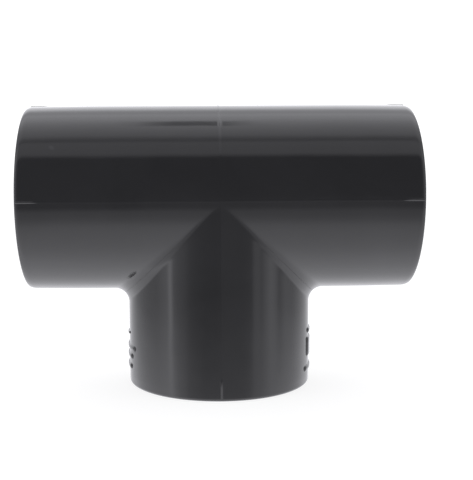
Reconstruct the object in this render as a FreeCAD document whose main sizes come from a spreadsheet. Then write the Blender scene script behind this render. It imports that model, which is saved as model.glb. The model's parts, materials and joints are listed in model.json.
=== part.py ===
"""Equal 90 degree pressure tee for solvent-welded PVC-U pipe, nominal size 25 mm.

The real fitting is one injection moulding. It is divided here into the regions that a
designer names: the hub with its pipe stops and blended crotches, three pipe sockets, and
the raised details on them. The regions meet face to face and never overlap.

Frame: millimetres, +Z up. The tee stands on its branch mouth, the origin is the centre of
that mouth, the run lies along X and the front faces -Y. Each body is drawn about the point
where the run and branch axes cross, and its Placement lifts it to axis_height.
"""
import FreeCAD, Part
import math
import os

import Sketcher

SIZES = {
    # outside
    "run_radius": 16.05,        # hub and inner end of the run sockets
    "mouth_radius": 15.93,      # run sockets at their mouths, after the mould draft
    "branch_radius": 16.00,     # a hair under the run, so the crotch edge is one clean loop
    "half_length": 33.0,        # branch axis to either run mouth
    "axis_height": 32.8,        # run axis to the branch mouth
    "hub_reach": 19.0,          # axis crossing to the face where each socket starts
    "crotch_fillet": 2.5,
    "mouth_round": 0.6,
    # inside
    "socket_radius": 12.6,      # for 25.0 pipe
    "waterway_radius": 10.6,
    "stop_distance": 14.0,      # axis crossing to each pipe stop
    "lead_in_depth": 1.0,
    "lead_in_rise": 0.5,
    # short ribs at each mouth: four on a run socket, front and back on the branch
    "rib_length": 3.7,
    "rib_height": 0.11,
    "rib_width": 0.45,
    "rib_run_out": 2.0,         # slope at a rib's inner end
    # plain raised marks on both sides of the branch
    "mark_height": 0.24,
    "first_mark": 23.5,         # axis crossing to the middle of the first mark
    "mark_pitch": 1.95,
    "pip_mark": 0.7,            # along the branch
    "narrow_mark": 1.2,
    "wide_mark": 3.65,
    "pip_arc": 6.0,             # round the branch
    "short_arc": 9.5,
    "middle_arc": 10.7,
    "long_arc": 13.7,
}

FULL_TURN = 360

doc = FreeCAD.newDocument("tee_fitting")
sheet = doc.addObject("Spreadsheet::Sheet", "sizes")
for row, (alias, value) in enumerate(SIZES.items(), start=1):
    sheet.set(f"A{row}", alias)
    sheet.set(f"B{row}", str(value))
    sheet.setAlias(f"B{row}", alias)
doc.recompute()


def new_body(label, turn=None):
    """A body about the axis crossing: its Placement turns it and lifts it to axis_height."""
    body = doc.addObject("PartDesign::Body", label)
    body.Label = label
    if turn is not None:
        body.Placement = FreeCAD.Placement(FreeCAD.Vector(), turn)
    body.setExpression(".Placement.Base.z", "sizes.axis_height")
    return body


def origin_plane(body, role):
    return next(plane for plane in body.Origin.OriginFeatures if plane.Role == role)


def new_sketch(body, name, role):
    sketch = body.newObject("Sketcher::SketchObject", name)
    sketch.AttachmentSupport = (origin_plane(body, role), [""])
    sketch.MapMode = "FlatFace"
    return sketch


def bind(sketch, name, constraint, expression):
    """Add a dimension, give it a name and bind it to the sheet."""
    index = sketch.addConstraint(constraint)
    sketch.renameConstraint(index, name)
    sketch.setExpression(f"Constraints.{name}", expression)


def add_outline(sketch, name, corners):
    """A closed outline: each corner is two expressions, measured from the sketch's origin."""
    count = len(corners)
    first = sketch.GeometryCount
    start = [FreeCAD.Vector(math.cos(math.tau * i / count), math.sin(math.tau * i / count), 0)
             for i in range(count)]
    for i in range(count):
        sketch.addGeometry(Part.LineSegment(start[i], start[(i + 1) % count]))
    for i in range(count):
        following = first + (i + 1) % count
        sketch.addConstraint(Sketcher.Constraint("Coincident", first + i, 2, following, 1))
    for i, (across, up) in enumerate(corners):
        line = first + i
        from_axis = Sketcher.Constraint("DistanceX", -1, 1, line, 1, start[i].x)
        bind(sketch, f"{name}_{i}_across", from_axis, across)
        from_base = Sketcher.Constraint("DistanceY", -1, 1, line, 1, start[i].y)
        bind(sketch, f"{name}_{i}_up", from_base, up)


def add_disc(sketch, radius):
    """A circle on the sketch's origin with a bound radius."""
    centre = FreeCAD.Vector()
    circle = sketch.addGeometry(Part.Circle(centre, FreeCAD.Vector(0, 0, 1), 1))
    sketch.addConstraint(Sketcher.Constraint("Coincident", circle, 3, -1, 1))
    bind(sketch, "radius", Sketcher.Constraint("Radius", circle, 1), radius)


def turned(body, kind, name, sketch, axis, angle=None):
    """A Revolution or Groove of a sketch: the full turn, or an angle centred on the sketch."""
    feature = body.newObject(f"PartDesign::{kind}", name)
    feature.Profile = sketch
    feature.ReferenceAxis = (sketch, [axis])
    feature.Angle = FULL_TURN
    if angle is not None:
        feature.Midplane = True
        feature.setExpression("Angle", angle)
    doc.recompute()
    return feature


def ring_edges(feature, distance, radius):
    """Names of the circular edges round local X, by distance from the crossing and radius."""
    names = []
    for number, edge in enumerate(feature.Shape.Edges, start=1):
        curve = edge.Curve
        if curve.TypeId != "Part::GeomCircle":
            continue
        if abs(curve.Radius - radius) < 0.01 and abs(curve.Center.x - distance) < 0.01:
            names.append(f"Edge{number}")
    return names


def crotch_edges(feature):
    """Names of the edges where the branch leaves the run: curved both in plan and in height."""
    names = []
    for number, edge in enumerate(feature.Shape.Edges, start=1):
        box = edge.BoundBox
        below_axis = box.ZMax < 0 and box.ZMin > -SIZES["run_radius"] - 0.1
        if below_axis and box.ZLength > 1 and box.XLength > 1 and box.YLength > 1:
            names.append(f"Edge{number}")
    return names


def make_hub():
    """The crossing of run and branch: blended crotches outside, three pipe stops inside."""
    body = new_body("tee_hub")

    run_section = new_sketch(body, "run_section", "YZ_Plane")
    add_disc(run_section, "sizes.run_radius")
    run = body.newObject("PartDesign::Pad", "run_pad")
    run.Profile = run_section
    run.SideType = "Symmetric"
    run.setExpression("Length", "2 * sizes.hub_reach")

    branch_section = new_sketch(body, "branch_section", "XY_Plane")
    add_disc(branch_section, "sizes.branch_radius")
    branch = body.newObject("PartDesign::Pad", "branch_pad")
    branch.Profile = branch_section
    branch.Reversed = True
    branch.setExpression("Length", "sizes.hub_reach")
    doc.recompute()

    crotch = body.newObject("PartDesign::Fillet", "crotch_fillet")
    crotch.Base = (branch, crotch_edges(branch))
    crotch.setExpression("Radius", "sizes.crotch_fillet")
    doc.recompute()
    solid_volume = crotch.Shape.Volume

    run_bore = new_sketch(body, "run_bore_profile", "XZ_Plane")
    add_outline(run_bore, "bore", [
        ("-sizes.hub_reach", "0"),
        ("sizes.hub_reach", "0"),
        ("sizes.hub_reach", "sizes.socket_radius"),
        ("sizes.stop_distance", "sizes.socket_radius"),
        ("sizes.stop_distance", "sizes.waterway_radius"),
        ("-sizes.stop_distance", "sizes.waterway_radius"),
        ("-sizes.stop_distance", "sizes.socket_radius"),
        ("-sizes.hub_reach", "sizes.socket_radius"),
    ])
    run_groove = turned(body, "Groove", "run_bore", run_bore, "H_Axis")

    branch_bore = new_sketch(body, "branch_bore_profile", "XZ_Plane")
    add_outline(branch_bore, "bore", [
        ("0", "0"),
        ("0", "-sizes.hub_reach"),
        ("sizes.socket_radius", "-sizes.hub_reach"),
        ("sizes.socket_radius", "-sizes.stop_distance"),
        ("sizes.waterway_radius", "-sizes.stop_distance"),
        ("sizes.waterway_radius", "0"),
    ])
    branch_groove = turned(body, "Groove", "branch_bore", branch_bore, "V_Axis")
    if not solid_volume > run_groove.Shape.Volume > branch_groove.Shape.Volume:
        raise RuntimeError("a bore of tee_hub cut nothing")
    return body


def make_socket(label, turn, length, inner_radius, mouth_radius):
    """One pipe socket, drawn along local X; the last three arguments are sheet aliases."""
    body = new_body(label, turn)
    wall = new_sketch(body, f"{label}_wall", "XZ_Plane")
    add_outline(wall, "wall", [
        ("sizes.hub_reach", "sizes.socket_radius"),
        (f"sizes.{length}", "sizes.socket_radius"),
        (f"sizes.{length}", f"sizes.{mouth_radius}"),
        ("sizes.hub_reach", f"sizes.{inner_radius}"),
    ])
    shell = turned(body, "Revolution", f"{label}_shell", wall, "H_Axis")

    rounding = body.newObject("PartDesign::Fillet", f"{label}_mouth_round")
    rounding.Base = (shell, ring_edges(shell, SIZES[length], SIZES[mouth_radius]))
    rounding.setExpression("Radius", "sizes.mouth_round")
    doc.recompute()
    shell_volume = rounding.Shape.Volume

    lead_in = new_sketch(body, f"{label}_lead_in_profile", "XZ_Plane")
    add_outline(lead_in, "lead_in", [
        (f"sizes.{length} - sizes.lead_in_depth", "sizes.socket_radius"),
        (f"sizes.{length}", "sizes.socket_radius"),
        (f"sizes.{length}", "sizes.socket_radius + sizes.lead_in_rise"),
    ])
    cut = turned(body, "Groove", f"{label}_lead_in", lead_in, "H_Axis")
    if not cut.Shape.Volume < shell_volume:
        raise RuntimeError(f"the lead-in of {label} cut nothing")
    return body


def make_mouth_ribs(label, turn, plane, count, length, inner_radius, mouth_radius):
    """Short ribs on a socket, running in from the mouth, spaced evenly from the given plane."""
    body = new_body(label, turn)
    outer_end = f"sizes.{length} - sizes.mouth_round"
    inner_end = f"{outer_end} - sizes.rib_length"
    draft = f"(sizes.{mouth_radius} - sizes.{inner_radius}) / (sizes.{length} - sizes.hub_reach)"

    def surface(distance):
        return f"sizes.{inner_radius} + {draft} * ({distance} - sizes.hub_reach)"

    profile = new_sketch(body, f"{label}_profile", plane)
    add_outline(profile, "rib", [
        (inner_end, surface(inner_end)),
        (outer_end, surface(outer_end)),
        (outer_end, surface(outer_end) + " + sizes.rib_height"),
        (f"{inner_end} + sizes.rib_run_out", surface(outer_end) + " + sizes.rib_height"),
    ])
    rib = turned(body, "Revolution", f"{label}_rib", profile, "H_Axis",
                 f"sizes.rib_width / sizes.{mouth_radius} * 180 / pi")

    pattern = body.newObject("PartDesign::PolarPattern", f"{label}_pattern")
    pattern.Originals = [rib]
    pattern.Axis = (profile, ["H_Axis"])
    pattern.Angle = FULL_TURN
    pattern.Occurrences = count
    body.Tip = pattern
    doc.recompute()
    return body


def make_raised_marks(label, turn, side, marks):
    """Plain raised marks on the branch.

    side is "" or "-", for the side of the branch. A mark is its number of pitches past
    first_mark, its alias along the branch and its alias round the branch.
    """
    body = new_body(label, turn)
    for number, (pitches, along, around) in enumerate(marks, start=1):
        middle = f"sizes.first_mark + {pitches} * sizes.mark_pitch"
        profile = new_sketch(body, f"{label}_{number}_profile", "XZ_Plane")
        low = f"{middle} - sizes.{along} / 2"
        high = f"{middle} + sizes.{along} / 2"
        skin = f"{side}sizes.branch_radius"
        top = f"{side}(sizes.branch_radius + sizes.mark_height)"
        add_outline(profile, "mark", [(low, skin), (high, skin), (high, top), (low, top)])
        turned(body, "Revolution", f"{label}_{number}", profile, "H_Axis",
               f"sizes.{around} / sizes.branch_radius * 180 / pi")
    return body


TO_RIGHT = FreeCAD.Rotation()
TO_LEFT = FreeCAD.Rotation(FreeCAD.Vector(0, 0, 1), 180)
DOWN = FreeCAD.Rotation(FreeCAD.Vector(0, 1, 0), 90)

RUN = ("half_length", "run_radius", "mouth_radius")
BRANCH = ("axis_height", "branch_radius", "branch_radius")

LEFT_MARKS = [
    (0.13, "pip_mark", "pip_arc"),
    (1.32, "narrow_mark", "long_arc"),
    (2.1, "narrow_mark", "middle_arc"),
    (3.05, "narrow_mark", "short_arc"),
]
RIGHT_MARKS = [
    (-0.07, "narrow_mark", "short_arc"),
    (1.35, "wide_mark", "middle_arc"),
    (3.25, "narrow_mark", "long_arc"),
]

sub_parts = [
    make_hub(),
    make_socket("left_socket", TO_LEFT, *RUN),
    make_socket("right_socket", TO_RIGHT, *RUN),
    make_socket("branch_socket", DOWN, *BRANCH),
    make_mouth_ribs("left_mouth_ribs", TO_LEFT, "XZ_Plane", 4, *RUN),
    make_mouth_ribs("right_mouth_ribs", TO_RIGHT, "XZ_Plane", 4, *RUN),
    make_mouth_ribs("branch_mouth_ribs", DOWN, "XY_Plane", 2, *BRANCH),
    make_raised_marks("left_raised_marks", DOWN, "-", LEFT_MARKS),
    make_raised_marks("right_raised_marks", DOWN, "", RIGHT_MARKS),
]
doc.recompute()

for item in doc.Objects:
    if "Invalid" in item.State or "Error" in item.State:
        raise RuntimeError(f"{item.Label} failed: {item.State}")
for part in sub_parts:
    if part.Shape.isNull() or not part.Shape.isValid():
        raise RuntimeError(f"{part.Label} has no valid shape")

os.makedirs("parts", exist_ok=True)
for part in sub_parts:
    part.Shape.exportStep(f"parts/{part.Label}.step")
    print(f"{part.Label}: {len(part.Shape.Solids)} solid(s), {part.Shape.Volume:.2f} mm3")
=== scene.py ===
import json
import math

import bmesh
import bpy
import numpy as np
from mathutils import Matrix, Vector


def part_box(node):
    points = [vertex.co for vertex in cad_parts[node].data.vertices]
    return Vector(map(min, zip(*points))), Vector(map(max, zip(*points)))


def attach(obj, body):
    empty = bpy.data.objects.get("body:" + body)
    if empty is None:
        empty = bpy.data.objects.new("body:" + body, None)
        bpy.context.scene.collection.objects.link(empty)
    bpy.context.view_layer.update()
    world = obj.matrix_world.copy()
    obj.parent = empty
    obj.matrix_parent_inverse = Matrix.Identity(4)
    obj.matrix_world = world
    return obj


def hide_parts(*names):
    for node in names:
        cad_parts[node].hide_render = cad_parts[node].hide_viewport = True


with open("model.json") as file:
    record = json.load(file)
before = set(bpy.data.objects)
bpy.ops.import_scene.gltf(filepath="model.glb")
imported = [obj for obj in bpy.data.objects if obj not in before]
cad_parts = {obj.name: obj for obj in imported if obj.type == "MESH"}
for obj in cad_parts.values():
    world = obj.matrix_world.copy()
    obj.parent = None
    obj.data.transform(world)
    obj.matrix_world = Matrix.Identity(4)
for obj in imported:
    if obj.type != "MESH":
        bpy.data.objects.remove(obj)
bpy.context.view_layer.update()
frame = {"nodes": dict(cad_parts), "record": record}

MM = 0.001

# ---- sizes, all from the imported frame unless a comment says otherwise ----
hub_low, hub_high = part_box("tee_hub")
branch_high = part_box("branch_socket")[1]
mounts = {mount["name"]: mount for mount in frame["record"]["mounts"]}
run_mount = mounts["right_socket_bore"]

RUN_R = (hub_high.y - hub_low.y) / 2
BRANCH_R = branch_high.x
REACH = hub_high.x                              # axis crossing to where each socket starts
AXIS_Z = hub_high.z - RUN_R
HALF_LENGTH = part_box("right_socket")[1].x
BORE_R = run_mount["dims"]["r_mm"] * MM
BORE_LENGTH = run_mount["dims"]["length_mm"] * MM
STOP = run_mount["pos_m"][0] - BORE_LENGTH / 2  # axis crossing to each pipe stop
LEAD_IN = HALF_LENGTH - STOP - BORE_LENGTH

# details finer than the frame states
CROTCH_R = 2.5 * MM
WATERWAY_R = 10.6 * MM
STOP_EDGE = 0.25 * MM       # rounding of each pipe stop's edge
RUN_MOUTH_ROUND = 0.36 * MM
RUN_ROUND_STRETCH = 3.3     # the run mouths' rounding is this much longer than it is deep
BRANCH_MOUTH_ROUND = 0.6 * MM
LEAD_IN_RISE = 0.5 * MM
RUN_DRAFT = 0.12 * MM       # how much the run sockets taper in by their mouths
SEAM_LOW = 0.012 * MM       # witness lines left by the mould, along the sides
SEAM_HIGH = 0.05 * MM       # and over the top of the run
SEAM_HALF_WIDTH = 0.3 * MM
SINK = 0.06 * MM            # how deep a raised detail's edge sits in the surface
LIP_EDGE = 0.12 * MM        # rounding of the lead-in's outer edge
LARGEST_STEP = 1.2 * MM     # between stations along a plain wall

HUB_SHARP_DEGREES = 32.0    # edges steeper than this are shaded sharp
DETAIL_SHARP_DEGREES = 50.0

CROSSING = Vector((0, 0, AXIS_Z))
FRONT = np.array((0.0, -1.0, 0.0))


# ---- mesh helpers ----
def smooth_step(edge0, edge1, value):
    t = np.clip((value - edge0) / (edge1 - edge0), 0, 1)
    return t * t * (3 - 2 * t)


def grid_faces(rows, columns, start=0, flip=False):
    """Quads of a grid of points stored row by row."""
    faces = []
    for i in range(rows - 1):
        for j in range(columns - 1):
            a = start + i * columns + j
            quad = (a, a + columns, a + columns + 1, a + 1)
            faces.append(quad[::-1] if flip else quad)
    return faces


def make_piece(name, points, faces, material, sharp_degrees=HUB_SHARP_DEGREES):
    """A welded, outward-facing, smooth-shaded mesh object."""
    mesh = bpy.data.meshes.new(name)
    mesh.from_pydata([tuple(p) for p in points], [], faces)
    work = bmesh.new()
    work.from_mesh(mesh)
    bmesh.ops.remove_doubles(work, verts=work.verts, dist=0.0005 * MM)
    bmesh.ops.recalc_face_normals(work, faces=work.faces)
    work.to_mesh(mesh)
    work.free()
    mesh.shade_smooth()
    mesh.set_sharp_from_angle(angle=math.radians(sharp_degrees))
    mesh.materials.append(material)
    piece = bpy.data.objects.new(name, mesh)
    bpy.context.scene.collection.objects.link(piece)
    return piece


def stand_for(piece, *nodes):
    """The piece rides on the fitting's one body and stands for these CAD nodes."""
    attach(piece, "root")
    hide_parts(*nodes)


# ---- the outer skin: run and branch cylinders joined by a rolled fillet ----
def skin_distance(p):
    """Signed distance (near the skin) of points about the axis crossing."""
    run_rho = np.maximum(np.hypot(p[..., 1], p[..., 2]), 1e-9)
    branch_rho = np.maximum(np.hypot(p[..., 0], p[..., 1]), 1e-9)
    to_run = run_rho - RUN_R
    to_branch = branch_rho - BRANCH_R
    above = p[..., 2] > 0
    to_branch = np.where(above, np.maximum(to_branch, p[..., 2]), to_branch)
    cosine = np.where(above, 0.0, p[..., 1] ** 2 / (run_rho * branch_rho))
    sine2 = np.maximum(1 - cosine ** 2, 1e-6)
    u, v = CROTCH_R - to_run, CROTCH_R - to_branch
    rolled = CROTCH_R - np.sqrt((u * u + v * v - 2 * u * v * cosine) / sine2)
    in_fillet = (u > v * cosine) & (v > u * cosine) & ~above
    return np.where(in_fillet, rolled, np.minimum(to_run, to_branch))


def seam_ridge(distance):
    return 1 - smooth_step(0.15, 1.0, np.abs(distance) / SEAM_HALF_WIDTH)


def seam_height(p):
    """Witness lines: round the fitting in the plane across the run, and along the run."""
    x, y, z = p[..., 0], p[..., 1], p[..., 2]
    across = SEAM_LOW + (SEAM_HIGH - SEAM_LOW) * smooth_step(5 * MM, 11 * MM, z)
    along = np.where(np.abs(y) > RUN_R / 2, SEAM_LOW, 0.0)
    return np.maximum(across * seam_ridge(x), along * seam_ridge(z))


SKIN_PASSES = 8


def skin_gradient(p):
    step = 0.002 * MM
    offsets = np.eye(3) * step
    sides = [skin_distance(p + o) - skin_distance(p - o) for o in offsets]
    return np.stack(sides, axis=-1) / (2 * step)


def to_skin(points, with_seams=True):
    """Move points on to the skin along its gradient; also returns the outward normals."""
    p = np.array(points, float)
    lift = seam_height(p) if with_seams else 0.0
    for _ in range(SKIN_PASSES):
        g = skin_gradient(p)
        size2 = np.maximum((g * g).sum(-1), 1e-6)
        p = p - (skin_distance(p) - lift)[..., None] * g / size2[..., None]
    g = skin_gradient(p)
    return p, g / np.linalg.norm(g, axis=-1, keepdims=True)


def quarter_angles(fine_count=7, coarse_count=44):
    """0 to 90 degrees, fine near 0, where a witness line runs."""
    step = SEAM_HALF_WIDTH / RUN_R / 4
    near = [k * step for k in range(fine_count)]
    far = np.linspace(near[-1], math.pi / 2, coarse_count + 1)[1:]
    return np.array(near + list(far))


def full_turn_angles():
    """Once round, fine near 0 and 180 degrees, without repeating the first angle."""
    quarter = quarter_angles()
    half = np.concatenate([quarter, math.pi - quarter[-2::-1]])
    return np.concatenate([half, -half[-2:0:-1]])


def spaced(start, end, first, growth, largest):
    """Stations from start to end: the first step, then growing steps up to the largest."""
    stations = [start]
    step = first
    while abs(end - stations[-1]) > step * 1.5:
        stations.append(stations[-1] + math.copysign(step, end - start))
        step = min(step * growth, largest)
    return stations + [end]


def arc(centre_along, centre_radius, radius, start_degrees, end_degrees, steps, stretch=1.0):
    """Profile points (along, radius) round an edge; stretch lengthens it along the axis."""
    angles = np.radians(np.linspace(start_degrees, end_degrees, steps + 1))
    return [(centre_along + radius * stretch * math.cos(a), centre_radius + radius * math.sin(a))
            for a in angles]


# ---- hub ----
SKIN_STEPS = 34             # along the outside of the hub, from a mitre to its end face
WATERWAY_STEPS = 9


def gathered(start, end, count):
    """count + 1 stations, closer together near start."""
    return [start + (end - start) * (k / count) ** 1.5 for k in range(count + 1)]


def inner_profile():
    """From the hub's end face back to the waterway: (distance from the crossing, radius)."""
    stop_edge = arc(STOP - STOP_EDGE, WATERWAY_R + STOP_EDGE, STOP_EDGE, 0, -90, 4)
    return [(d, BORE_R) for d in spaced(REACH, STOP, 0.6 * MM, 1.3, LARGEST_STEP)] + stop_edge


def hub_sheet(angles, place, outer_start, inner_start):
    """One sheet of a quarter of the hub: out along the skin, over the end, back inside."""
    inner = inner_profile()
    waterway_end = inner[-1][0]
    rows = []
    for angle, first, last in zip(angles, outer_start, inner_start):
        outer = [(d, None) for d in gathered(first, REACH, SKIN_STEPS)]
        back = gathered(last, waterway_end, WATERWAY_STEPS)[::-1][1:]
        profile = outer + inner + [(d, WATERWAY_R) for d in back]
        rows.append([place(angle, d, r) for d, r in profile])
    grid = np.array(rows)
    skin = grid[:, :SKIN_STEPS + 1]
    grid[:, :SKIN_STEPS + 1], _ = to_skin(skin)
    return grid


def hub_quarter():
    """The front right quarter of the hub as three sheets of points."""
    t = quarter_angles()

    def on_upper_run(angle, distance, radius):
        r = RUN_R if radius is None else radius
        return (distance, -r * math.cos(angle), r * math.sin(angle))

    def on_lower_run(angle, distance, radius):
        r = RUN_R if radius is None else radius
        return (distance, -r * math.cos(angle), -r * math.sin(angle))

    def on_branch(angle, distance, radius):
        r = BRANCH_R if radius is None else radius
        return (r * math.sin(angle), -r * math.cos(angle), -distance)

    outer_mitre = RUN_R * np.sin(t)
    inner_mitre = WATERWAY_R * np.sin(t)
    level = np.zeros_like(t)
    return [
        hub_sheet(t, on_upper_run, level, level),
        hub_sheet(t, on_lower_run, outer_mitre, inner_mitre),
        hub_sheet(t, on_branch, outer_mitre, inner_mitre),
    ]


def make_hub(material):
    points, faces = [], []
    for sheet in hub_quarter():
        for mirror_x in (1, -1):
            for mirror_y in (1, -1):
                copy = sheet * np.array((mirror_x, mirror_y, 1.0))
                start = len(points)
                points.extend(copy.reshape(-1, 3) + np.array(CROSSING))
                faces += grid_faces(copy.shape[0], copy.shape[1], start)
    add_nick(points, faces)
    hub = make_piece("hub_moulding", points, faces, material)
    stand_for(hub, "tee_hub")
    return hub


# ---- sockets ----
class SocketFrame:
    """Where a socket points, its outer radius along its length, and its mouth."""

    def __init__(self, axis, outer_radius, draft, mouth, mouth_round, stretch):
        self.axis = np.array(axis, float)
        self.side = np.cross(self.axis, FRONT)
        self.outer_radius = outer_radius
        self.draft = draft
        self.mouth = mouth
        self.mouth_round = mouth_round
        self.stretch = stretch

    def radius(self, distance):
        t = np.clip((distance - REACH) / (self.mouth - REACH), 0, 1)
        return self.outer_radius - self.draft * t * t

    def place(self, distance, radius, angle):
        """A point by distance from the crossing, radius, and angle from the front."""
        distance, radius, angle = np.broadcast_arrays(distance, radius, angle)
        return (np.array(CROSSING)
                + distance[..., None] * self.axis
                + (radius * np.cos(angle))[..., None] * FRONT
                + (radius * np.sin(angle))[..., None] * self.side)


RIGHT = SocketFrame((1, 0, 0), RUN_R, RUN_DRAFT, HALF_LENGTH, RUN_MOUTH_ROUND, RUN_ROUND_STRETCH)
LEFT = SocketFrame((-1, 0, 0), RUN_R, RUN_DRAFT, HALF_LENGTH, RUN_MOUTH_ROUND, RUN_ROUND_STRETCH)
BRANCH = SocketFrame((0, 0, -1), BRANCH_R, 0.0, AXIS_Z, BRANCH_MOUTH_ROUND, 1.0)


def make_socket(name, node, socket, material):
    mouth = socket.mouth
    rounding = socket.mouth_round
    straight_end = mouth - rounding * socket.stretch
    skin = [(d, socket.radius(d))
            for d in spaced(REACH, straight_end, 0.7 * MM, 1.15, LARGEST_STEP)]
    rim = arc(straight_end, socket.radius(straight_end) - rounding, rounding, 90, 0, 9,
              socket.stretch)[1:]
    lip = arc(mouth - LIP_EDGE, BORE_R + LEAD_IN_RISE + LIP_EDGE, LIP_EDGE, 0, -60, 3)
    bore = [(d, BORE_R) for d in spaced(mouth - LEAD_IN, REACH, 0.8 * MM, 1.2, 1.3 * MM)]
    profile = skin + rim + lip + bore
    angles = full_turn_angles()

    along = np.array([d for d, _ in profile])
    radii = np.array([r for _, r in profile])
    seam = SEAM_LOW * seam_ridge(RUN_R * np.sin(angles))
    on_skin = np.array([k < len(skin) + len(rim) - 1 for k in range(len(profile))])
    radius_grid = radii[None, :] + seam[:, None] * on_skin[None, :]
    grid = socket.place(along[None, :], radius_grid, angles[:, None])

    rows, columns = grid.shape[:2]
    closed = np.concatenate([grid, grid[:1]], axis=0)
    closed = np.concatenate([closed, closed[:, :1]], axis=1)
    faces = grid_faces(rows + 1, columns + 1)
    piece = make_piece(name, closed.reshape(-1, 3), faces, material)
    stand_for(piece, node)
    return piece


# ---- raised details: rounded pads that stand on a surface ----
def pad_grid(half_length, half_width, corner, edge):
    """Plan positions and heights (0 to 1) of a rounded pad, row by row, and its grid size."""
    def stations(half):
        inner = max(half - edge, 0)
        rise = [half - edge * share for share in (1, 0.8, 0.6, 0.4, 0.2, 0)]
        middle_count = max(2, int(inner / (0.5 * MM)) * 2)
        middle = list(np.linspace(-inner, inner, middle_count + 1))
        return np.array([-r for r in rise[::-1]] + middle[1:-1] + rise)

    xs, ys = stations(half_length), stations(half_width)
    x, y = np.meshgrid(xs, ys, indexing="ij")
    beyond_x = np.maximum(np.abs(x) - (half_length - corner), 0)
    beyond_y = np.maximum(np.abs(y) - (half_width - corner), 0)
    reach = np.hypot(beyond_x, beyond_y)
    pull = np.where(reach > corner, corner / np.maximum(reach, 1e-12), 1.0)
    x = np.where(beyond_x > 0, np.sign(x) * (half_length - corner + beyond_x * pull), x)
    y = np.where(beyond_y > 0, np.sign(y) * (half_width - corner + beyond_y * pull), y)
    inside = corner - np.minimum(reach * pull, corner)
    straight = np.minimum(half_length - np.abs(x), half_width - np.abs(y))
    depth = np.where((beyond_x > 0) & (beyond_y > 0), inside, straight)
    return x, y, smooth_step(0, edge, depth)


def ridge_grid(half_length, half_width, run_out, end_edge):
    """As pad_grid, for a rounded ridge whose -x end runs out to nothing."""
    tail = np.linspace(-half_length, -half_length + run_out, 9)
    body = np.linspace(tail[-1], half_length - end_edge, 5)[1:]
    end = half_length - end_edge * (1 - np.sin(np.radians((30, 60, 90))))
    x, y = np.meshgrid(np.concatenate([tail, body, end]),
                       np.linspace(-half_width, half_width, 13), indexing="ij")
    crest = 0.5 * (1 + np.cos(np.pi * y / half_width))
    to_end = np.clip((half_length - x) / end_edge, 0, 1)
    rise = crest * smooth_step(0, run_out, x + half_length) * np.sqrt(1 - (1 - to_end) ** 2)
    return x, y, np.maximum(rise, 0)


def add_raised(points, faces, surface, grid, height, depth=2 * SINK):
    """Append a closed detail: surface(x, y) gives points and outward normals in plan, and
    its foot is depth under them."""
    x, y, rise = grid
    base, normal = surface(x, y)
    top = base + normal * (height * rise - SINK * (rise < 1e-6))[..., None]
    foot = base - normal * depth
    rows, columns = x.shape
    start = len(points)
    points.extend(top.reshape(-1, 3))
    points.extend(foot.reshape(-1, 3))
    faces += grid_faces(rows, columns, start)
    faces += grid_faces(rows, columns, start + rows * columns, flip=True)
    border = ([(i, 0) for i in range(rows)] + [(rows - 1, j) for j in range(1, columns)]
              + [(i, columns - 1) for i in range(rows - 2, -1, -1)]
              + [(0, j) for j in range(columns - 2, 0, -1)])
    loop = [start + i * columns + j for i, j in border]
    under = [index + rows * columns for index in loop]
    for k in range(len(loop)):
        following = (k + 1) % len(loop)
        faces.append((loop[k], loop[following], under[following], under[k]))


def socket_surface(socket, distance, angle):
    """The plan of a detail on a socket: x towards the mouth, y round the socket."""
    def surface(x, y):
        along = distance + x
        radius = socket.radius(along)
        turn = angle + y / socket.outer_radius
        at = socket.place(along, radius, turn)
        outward = at - socket.place(along, 0.0, turn)
        return at, outward / np.linalg.norm(outward, axis=-1, keepdims=True)
    return surface


RIB_HALF_WIDTH = 0.21 * MM
RIB_RUN_OUT = 2.0 * MM
RIB_END_EDGE = 0.12 * MM
RIB_END_GAP = 0.25 * MM     # from a rib's outer end to the plane of the mouth
RIB_DEPTH = 0.8 * MM        # a rib stays level where the mouth rounds off under it


def make_ribs(name, node, socket, angles_degrees, material):
    """Short ribs at a socket's mouth, as high as the CAD node's."""
    low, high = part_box(node)
    ends = [abs(value) for value in np.dot(np.array([low, high]) - np.array(CROSSING), socket.axis)]
    inner_end, outer_end = min(ends), socket.mouth - RIB_END_GAP
    height = high.y - socket.radius(max(ends))
    grid = ridge_grid((outer_end - inner_end) / 2, RIB_HALF_WIDTH, RIB_RUN_OUT, RIB_END_EDGE)
    points, faces = [], []
    for degrees in angles_degrees:
        surface = socket_surface(socket, (inner_end + outer_end) / 2, math.radians(degrees))
        add_raised(points, faces, surface, grid, height, RIB_DEPTH)
    piece = make_piece(name, points, faces, material, DETAIL_SHARP_DEGREES)
    stand_for(piece, node)
    return piece


MARK_EDGE = 0.42 * MM
MARK_CORNER = 0.5 * MM


def separate_boxes(node):
    """Low and high corners of each solid of a CAD node, from its connected mesh parts."""
    work = bmesh.new()
    work.from_mesh(frame["nodes"][node].data)
    bmesh.ops.remove_doubles(work, verts=work.verts, dist=0.001 * MM)
    waiting = set(work.verts)
    boxes = []
    while waiting:
        front = [waiting.pop()]
        found = list(front)
        while front:
            for edge in front.pop().link_edges:
                for vertex in edge.verts:
                    if vertex in waiting:
                        waiting.remove(vertex)
                        front.append(vertex)
                        found.append(vertex)
        corners = np.array([vertex.co for vertex in found])
        boxes.append((corners.min(0), corners.max(0)))
    work.free()
    return sorted(boxes, key=lambda box: -box[0][2])


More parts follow.
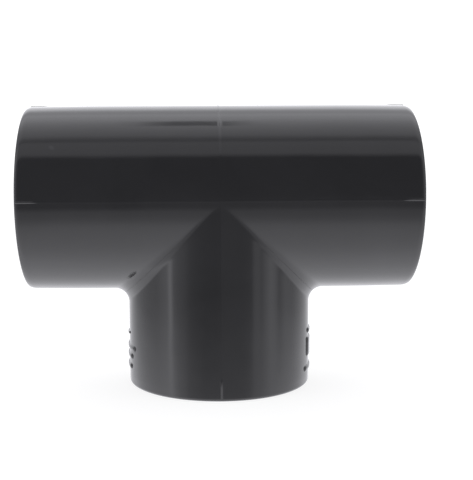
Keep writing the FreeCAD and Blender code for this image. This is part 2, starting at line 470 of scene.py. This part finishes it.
def make_marks(name, node, angle_degrees, material):
    """Plain raised bars on one side of the branch, each where its CAD solid is."""
    points, faces = [], []
    for low, high in separate_boxes(node):
        distance = AXIS_Z - (low[2] + high[2]) / 2
        outer = max(abs(low[0]), abs(high[0]))
        half_arc = math.asin(high[1] / outer) * BRANCH_R
        half_length = (high[2] - low[2]) / 2
        surface = socket_surface(BRANCH, distance, math.radians(angle_degrees))
        grid = pad_grid(half_length, half_arc, min(MARK_CORNER, half_length),
                        min(MARK_EDGE, half_length))
        add_raised(points, faces, surface, grid, outer - BRANCH_R)
    piece = make_piece(name, points, faces, material, DETAIL_SHARP_DEGREES)
    stand_for(piece, node)
    return piece


# ---- a small nick on the hub's front, beside the left crotch, darkened in the material as painted shade ----
NICK_AT = np.array((-14.8, -9.95, -12.55)) * MM
NICK_ALONG = np.array((1.31, -1.55, 1.23)) / np.linalg.norm((1.31, -1.55, 1.23))
NICK_HALF_LENGTH = 1.15 * MM
NICK_HALF_WIDTH = 0.38 * MM
NICK_HEIGHT = 0.07 * MM
NICK_OUTWARD = to_skin(NICK_AT)[1]
NICK_ASIDE = np.cross(NICK_OUTWARD, NICK_ALONG)


def add_nick(points, faces):
    def surface(x, y):
        at, normal = to_skin(NICK_AT + x[..., None] * NICK_ALONG + y[..., None] * NICK_ASIDE, False)
        return at + np.array(CROSSING), normal

    grid = pad_grid(NICK_HALF_LENGTH, NICK_HALF_WIDTH, NICK_HALF_WIDTH, NICK_HALF_WIDTH)
    add_raised(points, faces, surface, grid, NICK_HEIGHT)


# ---- a short pale scratch near the left mouth, in the material only ----
SCRATCH_AT = np.array((-27.15, -13.45, 8.7)) * MM
SCRATCH_ALONG = np.array((0.77, -0.33, -0.55)) / np.linalg.norm((0.77, -0.33, -0.55))
SCRATCH_HALF_LENGTH = 0.5 * MM
SCRATCH_HALF_WIDTH = 0.32 * MM


# ---- material ----
def add_node(tree, kind, **settings):
    node = tree.nodes.new(kind)
    for key, value in settings.items():
        if key in node.inputs:
            node.inputs[key].default_value = value
        else:
            setattr(node, key, value)
    return node


def remap(tree, value, from_min, from_max, to_min=0.0, to_max=1.0):
    """The value, carried over from one range to another and held inside it."""
    node = add_node(tree, "ShaderNodeMapRange")
    for name, number in (("From Min", from_min), ("From Max", from_max),
                         ("To Min", to_min), ("To Max", to_max)):
        node.inputs[name].default_value = number
    tree.links.new(value, node.inputs["Value"])
    return node.outputs["Result"]


def math_node(tree, operation, *values):
    """A math node: each value is a number or another node's output."""
    node = add_node(tree, "ShaderNodeMath", operation=operation)
    for socket, value in zip(node.inputs, values):
        if isinstance(value, bpy.types.NodeSocket):
            tree.links.new(value, socket)
        else:
            socket.default_value = value
    return node.outputs["Value"]


def blend(tree, share, first, second_colour):
    """The first colour where share is 0, the second where it is 1."""
    node = add_node(tree, "ShaderNodeMix", data_type="RGBA")
    colours = [socket for socket in node.inputs if socket.type == "RGBA"]
    tree.links.new(share, node.inputs["Factor"])
    tree.links.new(first, colours[0])
    colours[1].default_value = second_colour
    return next(socket for socket in node.outputs if socket.type == "RGBA")


def spot_mask(tree, place, at, along, half_length, half_width):
    """1 on a small long spot of the skin, fading to 0 round it. at is from the crossing."""
    outward = to_skin(at)[1]
    spot_axes = Matrix((along, np.cross(outward, along), outward)).transposed()
    local = add_node(tree, "ShaderNodeMapping", vector_type="TEXTURE")
    local.inputs["Location"].default_value = Vector(at) + CROSSING
    local.inputs["Rotation"].default_value = spot_axes.to_euler()
    local.inputs["Scale"].default_value = (half_length, half_width, half_length)
    tree.links.new(place.outputs["Object"], local.inputs["Vector"])
    reach = add_node(tree, "ShaderNodeVectorMath", operation="LENGTH")
    tree.links.new(local.outputs["Vector"], reach.inputs[0])
    return remap(tree, reach.outputs["Value"], 1.45, 0.4)


def witness_mask(tree, place):
    """1 along the paler witness line over the top of the run, and 0 elsewhere."""
    split = add_node(tree, "ShaderNodeSeparateXYZ")
    tree.links.new(place.outputs["Object"], split.inputs["Vector"])
    from_line = math_node(tree, "ABSOLUTE", split.outputs["X"])
    on_line = remap(tree, from_line, SEAM_HALF_WIDTH, 0.1 * MM)
    above_sides = remap(tree, split.outputs["Z"], AXIS_Z + 7 * MM, AXIS_Z + 13 * MM)
    below_crown = remap(tree, split.outputs["Z"], AXIS_Z + 15.3 * MM, AXIS_Z + 14.3 * MM)
    in_reach = math_node(tree, "MULTIPLY", above_sides, below_crown)
    return math_node(tree, "MULTIPLY", on_line, in_reach)


PVC_DARK = (0.0255, 0.0255, 0.0275, 1)
PVC_LIGHT = (0.0315, 0.0315, 0.0338, 1)
WITNESS_COLOUR = (0.05, 0.05, 0.053, 1)
SCRATCH_COLOUR = (0.046, 0.046, 0.049, 1)
# painted shade: the nick is coloured darker, as the shade in a dent's hollow would look; its matt
# roughness is real
NICK_PAINTED_SHADE = (0.013, 0.013, 0.014, 1)
NICK_ROUGHNESS = 0.6        # added to the plastic's


def pvc_colour(tree, place, flow, nick_shade_and_matt):
    """Faint flow mottling, with the witness line, the scratch and the nick's painted shade on it.
    """
    mottled = add_node(tree, "ShaderNodeValToRGB")
    stops = mottled.color_ramp.elements
    stops[0].position, stops[0].color = 0.3, PVC_DARK
    stops[1].position, stops[1].color = 0.72, PVC_LIGHT
    tree.links.new(flow, mottled.inputs["Fac"])
    scratch = spot_mask(tree, place, SCRATCH_AT, SCRATCH_ALONG, SCRATCH_HALF_LENGTH,
                        SCRATCH_HALF_WIDTH)
    lined = blend(tree, witness_mask(tree, place), mottled.outputs["Color"], WITNESS_COLOUR)
    scratched = blend(tree, scratch, lined, SCRATCH_COLOUR)
    # painted shade: the nick's spot is drawn darker than the plastic round it
    return blend(tree, nick_shade_and_matt, scratched, NICK_PAINTED_SHADE)


def pvc_roughness(tree, place, flow, nick_shade_and_matt):
    """Glossy, with broad uneven gloss, fine scuffs across it and the matt nick."""
    stretch = add_node(tree, "ShaderNodeMapping")
    stretch.inputs["Scale"].default_value = (260.0, 900.0, 2200.0)
    stretch.inputs["Rotation"].default_value = (0.3, 0.5, 0.2)
    tree.links.new(place.outputs["Object"], stretch.inputs["Vector"])
    scuff = add_node(tree, "ShaderNodeTexNoise", Scale=1.0, Detail=6.0, Roughness=0.75)
    tree.links.new(stretch.outputs["Vector"], scuff.inputs["Vector"])
    scuffs = remap(tree, scuff.outputs["Fac"], 0.56, 0.76, 0.0, 0.09)
    gloss = remap(tree, flow, 0.3, 0.7, 0.055, 0.10)
    plain = math_node(tree, "ADD", gloss, scuffs)
    return math_node(tree, "MULTIPLY_ADD", nick_shade_and_matt, NICK_ROUGHNESS, plain)


def pvc_relief(tree, place):
    """Soft waviness and fine grain."""
    wave = add_node(tree, "ShaderNodeTexNoise", Scale=160.0, Detail=1.0, Roughness=0.4)
    tree.links.new(place.outputs["Object"], wave.inputs["Vector"])
    grain = add_node(tree, "ShaderNodeTexNoise", Scale=2600.0, Detail=3.0, Roughness=0.6)
    tree.links.new(place.outputs["Object"], grain.inputs["Vector"])
    broad = add_node(tree, "ShaderNodeBump", Strength=0.08, Distance=0.0004)
    tree.links.new(wave.outputs["Fac"], broad.inputs["Height"])
    fine = add_node(tree, "ShaderNodeBump", Strength=0.06, Distance=0.00003)
    tree.links.new(grain.outputs["Fac"], fine.inputs["Height"])
    tree.links.new(broad.outputs["Normal"], fine.inputs["Normal"])
    return fine.outputs["Normal"]


def make_pvc():
    """Dark grey moulded PVC-U."""
    material = bpy.data.materials.new("dark_grey_pvc")
    material.use_nodes = True
    tree = material.node_tree
    tree.nodes.clear()
    output = add_node(tree, "ShaderNodeOutputMaterial")
    shader = add_node(tree, "ShaderNodeBsdfPrincipled", IOR=1.53)
    tree.links.new(shader.outputs["BSDF"], output.inputs["Surface"])
    place = add_node(tree, "ShaderNodeTexCoord")
    noise = add_node(tree, "ShaderNodeTexNoise", Scale=70.0, Detail=5.0, Roughness=0.55,
                     Distortion=0.6)
    tree.links.new(place.outputs["Object"], noise.inputs["Vector"])
    flow = noise.outputs["Fac"]
    # the nick's spot: painted shade in the colour, and a real matt patch in the roughness
    nick_shade_and_matt = spot_mask(tree, place, NICK_AT, NICK_ALONG, NICK_HALF_LENGTH, NICK_HALF_WIDTH)
    tree.links.new(pvc_colour(tree, place, flow, nick_shade_and_matt), shader.inputs["Base Color"])
    tree.links.new(pvc_roughness(tree, place, flow, nick_shade_and_matt), shader.inputs["Roughness"])
    tree.links.new(pvc_relief(tree, place), shader.inputs["Normal"])
    return material


# ---- the fitting ----
pvc = make_pvc()
make_hub(pvc)
make_socket("left_socket_moulding", "left_socket", LEFT, pvc)
make_socket("right_socket_moulding", "right_socket", RIGHT, pvc)
make_socket("branch_socket_moulding", "branch_socket", BRANCH, pvc)
make_ribs("left_rib_set", "left_mouth_ribs", LEFT, (0, 90, 180, 270), pvc)
make_ribs("right_rib_set", "right_mouth_ribs", RIGHT, (0, 90, 180, 270), pvc)
make_ribs("branch_rib_set", "branch_mouth_ribs", BRANCH, (0, 180), pvc)
make_marks("left_mark_bars", "left_raised_marks", 90, pvc)
make_marks("right_mark_bars", "right_raised_marks", 270, pvc)


# ---- stage: pale floor and light tent ----
def curve_of(tree, value, stops):
    """Brightness read from (value, brightness) stops by a colour ramp."""
    low, high = stops[0][0], stops[-1][0]
    top = max(brightness for _, brightness in stops)
    ramp = add_node(tree, "ShaderNodeValToRGB")
    elements = ramp.color_ramp.elements
    elements[0].position, elements[1].position = 0, 1
    for at, _ in stops[1:-1]:
        elements.new((at - low) / (high - low))
    for element, (_, brightness) in zip(elements, stops):
        element.color = (brightness / top,) * 3 + (1,)
    share = math_node(tree, "DIVIDE", math_node(tree, "SUBTRACT", value, low), high - low)
    tree.links.new(share, ramp.inputs["Fac"])
    return math_node(tree, "MULTIPLY", ramp.outputs["Color"], top)


def degrees_of(tree, y, x):
    return math_node(tree, "MULTIPLY", math_node(tree, "ARCTAN2", y, x), 180 / math.pi)


# Brightness of the tent round the fitting. Angles are in degrees: to the left (-) or right (+)
# of straight ahead of the branch; over the top from there to the back; or below the horizon.
# The stops started from the photo's shading, measured by the direction it reflects, and were
# then rounded and adjusted.
ROUND_LEVEL = [
    (-180, 1.05), (-150, 1.05), (-127, 0.8), (-98, 0.78), (-86, 0.84), (-77, 1.05), (-69, 1.3),
    (-64, 2.1), (-59, 1.0), (-54, 0.8), (-44, 0.6), (-36, 0.38), (-28, 0.29), (-18, 0.24),
    (-4, 0.22), (5, 0.3), (30, 0.3), (40, 0.38), (43, 0.74), (49, 0.82), (53, 0.68), (58, 0.95),
    (66, 1.28), (72, 1.15), (80, 0.68), (90, 0.93), (104, 0.77), (125, 0.87), (150, 1.0),
    (180, 1.05),
]
ROUND_LOW = [
    (-180, 1.1), (-150, 1.15), (-132, 1.5), (-95, 1.6), (-80, 1.68), (-69, 1.88), (-64, 2.1),
    (-59, 1.7), (-54, 1.36), (-44, 1.05), (-39, 0.82), (-29, 0.7), (-19, 0.58), (18, 0.58),
    (29, 0.61), (37, 0.74), (44, 1.03), (53, 1.15), (66, 1.48), (80, 1.53), (132, 1.5),
    (150, 1.15), (180, 1.1),
]
OVER_TOP = [
    (0, 0.15), (51, 0.13), (54.5, 0.5), (57, 0.72), (72, 0.76), (75.5, 0.48), (78, 0.58),
    (84, 1.05), (92, 1.22), (103, 1.45), (114, 1.68), (124, 1.62), (130, 1.2), (136, 1.1),
    (145, 1.6), (180, 1.7),
]
LEVEL_TO_LOW = [(9.6, 0.0), (10.7, 0.2), (13.2, 0.6), (15.3, 1.0)]
LOW_TO_BENEATH = [
    (15.3, 0.0), (20, 0.04), (25, 0.15), (33, 0.44), (41, 0.56), (50, 0.64), (60, 0.73),
    (75, 0.92), (90, 1.0),
]
TOP_TO_SIDES = [(0, 0.0), (25, 0.0), (45, 1.0), (90, 1.0)]
ROOF_GAP_OVER = [(99, 0.0), (101.5, 1.0), (108, 1.0), (111, 0.0)]
ROOF_GAP_SIDES = [(-4.6, 0.0), (-1.5, 1.0), (1.0, 1.0), (4.0, 0.0)]
ROOF_GAP_SHARE = 0.4
BENEATH = 1.84
HORIZON_BLEND = [(-3, 0.0), (5, 1.0)]       # from the upper tent to the lower, by angle below
TENT_COLOUR = (0.985, 0.985, 1.03, 1)
WHITE_TO_CAMERA = 1.2


def mixed(tree, share, first, second):
    """first where share is 0, second where it is 1."""
    return math_node(tree, "ADD", first,
                     math_node(tree, "MULTIPLY", share, math_node(tree, "SUBTRACT", second, first)))


def make_tent():
    """Soft white walls, roof and bottom with a dark opening in front; the camera sees white."""
    world = bpy.data.worlds.new("light_tent")
    bpy.context.scene.world = world
    world.use_nodes = True
    tree = world.node_tree
    place = add_node(tree, "ShaderNodeTexCoord")
    split = add_node(tree, "ShaderNodeSeparateXYZ")
    tree.links.new(place.outputs["Generated"], split.inputs["Vector"])
    x, y, z = split.outputs
    ahead = math_node(tree, "MULTIPLY", y, -1)
    across = degrees_of(tree, x, ahead)
    over = degrees_of(tree, z, ahead)
    down = math_node(tree, "MULTIPLY", math_node(tree, "ARCSINE", z), -180 / math.pi)
    sideways = math_node(tree, "MULTIPLY", math_node(tree, "ARCSINE", x), 180 / math.pi)
    aside = math_node(tree, "ABSOLUTE", sideways)
    level = curve_of(tree, across, ROUND_LEVEL)
    low = mixed(tree, curve_of(tree, down, LEVEL_TO_LOW), level, curve_of(tree, across, ROUND_LOW))
    lower = mixed(tree, curve_of(tree, down, LOW_TO_BENEATH), low, BENEATH)
    upper = mixed(tree, curve_of(tree, aside, TOP_TO_SIDES), curve_of(tree, over, OVER_TOP), level)
    opening = math_node(tree, "MULTIPLY", curve_of(tree, over, ROOF_GAP_OVER),
                        curve_of(tree, sideways, ROOF_GAP_SIDES))
    upper = math_node(tree, "MULTIPLY", upper, mixed(tree, opening, 1.0, ROOF_GAP_SHARE))
    tent = mixed(tree, curve_of(tree, down, HORIZON_BLEND), upper, lower)
    path = add_node(tree, "ShaderNodeLightPath")
    tinted = add_node(tree, "ShaderNodeBackground", Color=TENT_COLOUR)
    tree.links.new(tent, tinted.inputs["Strength"])
    plain = add_node(tree, "ShaderNodeBackground", Color=(1, 1, 1, 1), Strength=WHITE_TO_CAMERA)
    by_ray = add_node(tree, "ShaderNodeMixShader")
    tree.links.new(path.outputs["Is Camera Ray"], by_ray.inputs["Fac"])
    tree.links.new(tinted.outputs["Background"], by_ray.inputs[1])
    tree.links.new(plain.outputs["Background"], by_ray.inputs[2])
    tree.links.new(by_ray.outputs["Shader"], tree.nodes["World Output"].inputs["Surface"])


FLOOR_HALF_SIDE = 1.2
FLOOR_COLOUR = (0.3, 0.3, 0.3, 1)
FLOOR_GLOW = 0.84           # stands in for the tent's light on the floor


def make_floor():
    """A pale table, softly shaded under the fitting. The tent's bottom lights through it."""
    mesh = bpy.data.meshes.new("floor")
    half = FLOOR_HALF_SIDE
    mesh.from_pydata([(-half, -half, 0), (half, -half, 0), (half, half, 0), (-half, half, 0)], [],
                     [(0, 1, 2, 3)])
    floor = bpy.data.objects.new("floor", mesh)
    bpy.context.scene.collection.objects.link(floor)
    floor.visible_diffuse = False
    floor.visible_glossy = False
    material = bpy.data.materials.new("pale_floor")
    material.use_nodes = True
    tree = material.node_tree
    tree.nodes.clear()
    matt = add_node(tree, "ShaderNodeBsdfDiffuse", Color=FLOOR_COLOUR)
    lift = add_node(tree, "ShaderNodeEmission", Strength=FLOOR_GLOW)
    pale = add_node(tree, "ShaderNodeAddShader")
    output = add_node(tree, "ShaderNodeOutputMaterial")
    tree.links.new(matt.outputs["BSDF"], pale.inputs[0])
    tree.links.new(lift.outputs["Emission"], pale.inputs[1])
    tree.links.new(pale.outputs["Shader"], output.inputs["Surface"])
    mesh.materials.append(material)


make_tent()
make_floor()


# ---- camera, placed about the crossing of the axes ----
CAMERA_DISTANCE = 9.70 * RUN_R
CAMERA_PLACE = (-1.565, 2.695)      # azimuth and elevation in degrees, seen from the crossing
CAMERA_BACK = (-1.025, 5.53)        # the way the camera's back points, in the same angles
CAMERA_ROLL = -0.36
CAMERA_LENS = 65.64
CAMERA_SENSOR = 36.0
CAMERA_SHIFT = 0.0548


def towards(azimuth, elevation):
    """Unit vector at an azimuth and elevation in degrees, from straight ahead of the branch."""
    a, e = math.radians(azimuth), math.radians(elevation)
    return Vector((math.sin(a) * math.cos(e), -math.cos(a) * math.cos(e), math.sin(e)))


def make_camera():
    """The camera at the photograph's viewing angle."""
    roll = math.radians(CAMERA_ROLL)
    data = bpy.data.cameras.new("camera")
    data.lens = CAMERA_LENS
    data.sensor_width = CAMERA_SENSOR
    data.shift_x = CAMERA_SHIFT
    camera = bpy.data.objects.new("camera", data)
    bpy.context.scene.collection.objects.link(camera)
    back = towards(*CAMERA_BACK)
    right = Vector((0, 0, 1)).cross(back).normalized()
    up = back.cross(right)
    right, up = (right * math.cos(roll) + up * math.sin(roll),
                 up * math.cos(roll) - right * math.sin(roll))
    turn = Matrix((right, up, back)).transposed().to_4x4()
    place = Matrix.Translation(CROSSING + towards(*CAMERA_PLACE) * CAMERA_DISTANCE)
    camera.matrix_world = place @ turn
    bpy.context.scene.camera = camera


make_camera()
bpy.context.scene.view_settings.view_transform = "Standard"
